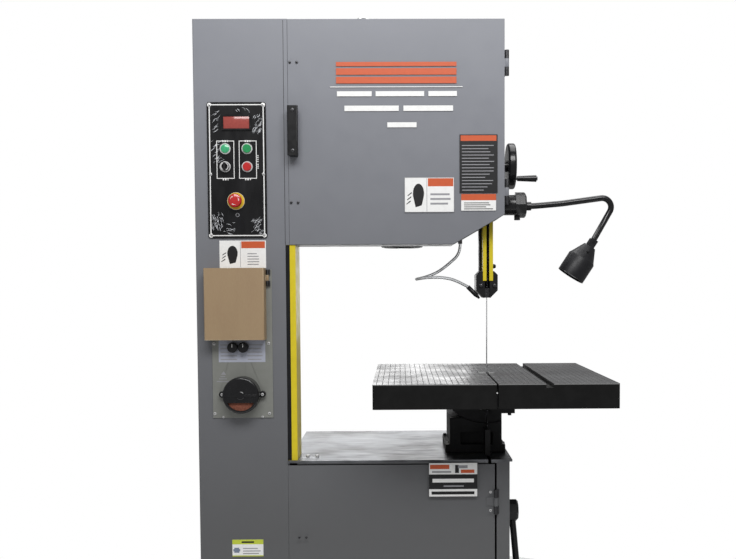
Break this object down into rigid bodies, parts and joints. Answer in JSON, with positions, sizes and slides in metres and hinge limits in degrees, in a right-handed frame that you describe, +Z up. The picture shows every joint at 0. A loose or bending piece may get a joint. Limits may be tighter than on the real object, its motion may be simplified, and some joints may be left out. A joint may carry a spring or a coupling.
{
  "type": "vertical metal-cutting band saw",
  "caption": "Floor-standing vertical metal-cutting band saw with deep throat, tilting table, sliding blade guide, welder and work lamp.",
  "frame": {"origin": "centre of the four floor anchor holes, on the floor", "axes": "+Z up, +X from the column towards the blade, +Y away from the operator"},
  "size_m": [1.1493, 0.7275, 1.967],
  "materials": {
    "machine_grey": "semi-gloss machine enamel",
    "ground_steel": "ground steel",
    "cast_iron": "painted casting",
    "tyre_rubber": "matt rubber",
    "black_plastic": "satin black",
    "guard_yellow": "yellow enamel",
    "panel_black": "black foil",
    "display_red": "red window",
    "chrome_trim": "zinc plated",
    "button_green": "green",
    "button_red": "red",
    "faceplate_grey": "satin",
    "cover_tan": "tan sheet",
    "grinding_stone": "bonded abrasive",
    "lamp_grey": "dark grey",
    "hose_grey": "translucent grey hose"
  },
  "bodies": {
    "frame": {"base_cabinet": "machine_grey", "base_top_plate": "ground_steel", "button_collars": "chrome_trim", "column_shell": "machine_grey", "control_panel": "panel_black", "drive_belt": "tyre_rubber", "fasteners": "chrome_trim", "floor_plate": "machine_grey", "grinder_guard": "black_plastic", "grinder_motor": "black_plastic", "guide_bracket": "cast_iron", "hinge_pins": "black_plastic", "lamp_socket": "black_plastic", "lifting_eye": "ground_steel", "lower_bearing_housing": "cast_iron", "lower_blade_guard": "black_plastic", "lower_trunnion": "cast_iron", "motor": "machine_grey", "panel_lights": "display_red", "power_inlet": "black_plastic", "return_blade_guard": "guard_yellow", "saw_blade": "ground_steel", "upper_arm": "machine_grey", "upper_wheel_housing": "machine_grey", "welder_faceplate": "faceplate_grey"},
    "lower_door": {"lower_door": "machine_grey"},
    "upper_door": {"upper_door": "machine_grey", "upper_door_handle": "black_plastic"},
    "upper_wheel": {"upper_wheel": "cast_iron", "upper_wheel_tyre": "tyre_rubber"},
    "lower_wheel": {"lower_wheel": "cast_iron", "lower_wheel_tyre": "tyre_rubber", "lower_shaft": "ground_steel", "driven_pulley": "cast_iron"},
    "motor_rotor": {"motor_pulley": "cast_iron"},
    "wheel_carriage": {"wheel_carriage": "ground_steel"},
    "tension_handwheel": {"tension_handwheel": "black_plastic"},
    "table": {"table": "ground_steel", "table_insert": "ground_steel", "table_saddle": "cast_iron"},
    "guide": {"guide_post": "ground_steel", "guide_head": "black_plastic", "guide_blocks": "ground_steel", "blade_guard": "guard_yellow", "nozzle": "black_plastic", "coolant_hose": "hose_grey"},
    "thrust_bearing": {"thrust_bearing": "ground_steel"},
    "guide_handwheel": {"guide_handwheel": "black_plastic"},
    "crank_grip": {"crank_grip": "black_plastic"},
    "start_button": {"start_button": "button_green"},
    "stop_button": {"stop_button": "button_red"},
    "emergency_stop": {"emergency_stop": "button_red"},
    "selector_switch": {"selector_switch": "black_plastic"},
    "welder_cover": {"welder_cover": "cover_tan"},
    "weld_heat_knob": {"weld_heat_knob": "black_plastic"},
    "weld_pressure_knob": {"weld_pressure_knob": "black_plastic"},
    "grinding_wheel": {"grinding_wheel": "grinding_stone"},
    "lamp_gooseneck": {"lamp_gooseneck": "black_plastic"},
    "lamp_head": {"lamp_head": "lamp_grey"},
    "shift_lever": {"shift_lever": "black_plastic"}
  },
  "joints": [
    {"name": "lower_door_swing", "type": "hinge", "parent": "frame", "child": "lower_door", "pos_m": [0.3735, -0.2583, 0], "axis": [0, 0, 1], "range_deg": [0, 110]},
    {"name": "upper_door_swing", "type": "hinge", "parent": "frame", "child": "upper_door", "pos_m": [0.4035, -0.249, 0], "axis": [0, 0, 1], "range_deg": [0, 110]},
    {"name": "blade_tension", "type": "slide", "parent": "frame", "child": "wheel_carriage", "axis": [0, 0, 1], "range_m": [-0.02, 0]},
    {"name": "upper_wheel_spin", "type": "hinge", "parent": "wheel_carriage", "child": "upper_wheel", "pos_m": [0.0975, -0.165, 1.625], "axis": [0, 1, 0], "continuous": true},
    {"name": "tension_handwheel_turn", "type": "hinge", "parent": "frame", "child": "tension_handwheel", "pos_m": [0.1285, -0.05, 1.345], "axis": [0, 0, 1], "range_deg": [-1440, 0]},
    {"name": "lower_wheel_spin", "type": "hinge", "parent": "frame", "child": "lower_wheel", "pos_m": [0.0975, -0.165, 0.462], "axis": [0, 1, 0], "continuous": true},
    {"name": "motor_spin", "type": "hinge", "parent": "frame", "child": "motor_rotor", "pos_m": [-0.0305, -0.065, 0.2], "axis": [0, 1, 0], "continuous": true},
    {"name": "table_tilt", "type": "hinge", "parent": "frame", "child": "table", "pos_m": [0.3575, -0.165, 0.98], "axis": [0, 1, 0], "range_deg": [-15, 45]},
    {"name": "guide_slide", "type": "slide", "parent": "frame", "child": "guide", "axis": [0, 0, 1], "range_m": [-0.175, 0.11], "deforming": ["coolant_hose"]},
    {"name": "guide_handwheel_turn", "type": "hinge", "parent": "frame", "child": "guide_handwheel", "pos_m": [0.4, -0.1048, 1.545], "axis": [1, 0, 0], "range_deg": [-526, 836]},
    {"name": "crank_grip_spin", "type": "hinge", "parent": "guide_handwheel", "child": "crank_grip", "pos_m": [0.47, -0.1388, 1.508], "axis": [1, 0, 0], "continuous": true},
    {"name": "thrust_bearing_spin", "type": "hinge", "parent": "guide", "child": "thrust_bearing", "pos_m": [0.3575, -0.1412, 1.232], "axis": [1, 0, 0], "continuous": true},
    {"name": "start_press", "type": "slide", "parent": "frame", "child": "start_button", "axis": [0, 1, 0], "range_m": [0, 0.003], "stiffness_N_per_m": 1500},
    {"name": "stop_press", "type": "slide", "parent": "frame", "child": "stop_button", "axis": [0, 1, 0], "range_m": [0, 0.003], "stiffness_N_per_m": 1500},
    {"name": "emergency_stop_press", "type": "slide", "parent": "frame", "child": "emergency_stop", "axis": [0, 1, 0], "range_m": [0, 0.004], "stiffness_N_per_m": 2000},
    {"name": "selector_turn", "type": "hinge", "parent": "frame", "child": "selector_switch", "pos_m": [-0.329, -0.2555, 1.5285], "axis": [0, 1, 0], "range_deg": [0, 60]},
    {"name": "welder_cover_swing", "type": "hinge", "parent": "frame", "child": "welder_cover", "pos_m": [-0.223, -0.26, 1.24], "axis": [0, 0, 1], "range_deg": [0, 110]},
    {"name": "weld_heat_turn", "type": "hinge", "parent": "frame", "child": "weld_heat_knob", "pos_m": [-0.3155, -0.2555, 1.059], "axis": [0, 1, 0], "range_deg": [-135, 135]},
    {"name": "weld_pressure_turn", "type": "hinge", "parent": "frame", "child": "weld_pressure_knob", "pos_m": [-0.2875, -0.2555, 1.059], "axis": [0, 1, 0], "range_deg": [-135, 135]},
    {"name": "grinding_wheel_spin", "type": "hinge", "parent": "frame", "child": "grinding_wheel", "pos_m": [-0.2915, -0.28, 0.936], "axis": [0, 1, 0], "continuous": true},
    {"name": "lamp_arm_turn", "type": "hinge", "parent": "frame", "child": "lamp_gooseneck", "pos_m": [0.455, -0.188, 1.429], "axis": [1, 0, 0], "range_deg": [-60, 60]},
    {"name": "lamp_head_tilt", "type": "hinge", "parent": "lamp_gooseneck", "child": "lamp_head", "pos_m": [0.6395, -0.188, 1.331], "axis": [0, 1, 0], "range_deg": [-25, 25]},
    {"name": "shift_lever_turn", "type": "hinge", "parent": "frame", "child": "shift_lever", "pos_m": [0.4105, -0.12, 0.59], "axis": [1, 0, 0], "range_deg": [-30, 30]}
  ],
  "couplings": [
    {"joint": "tension_handwheel_turn", "follows": "blade_tension", "rad_per_m": 1256.6},
    {"joint": "upper_wheel_spin", "follows": "lower_wheel_spin", "ratio": 1},
    {"joint": "motor_spin", "follows": "lower_wheel_spin", "ratio": 3.1429},
    {"joint": "guide_handwheel_turn", "follows": "guide_slide", "rad_per_m": -83.333}
  ]
}
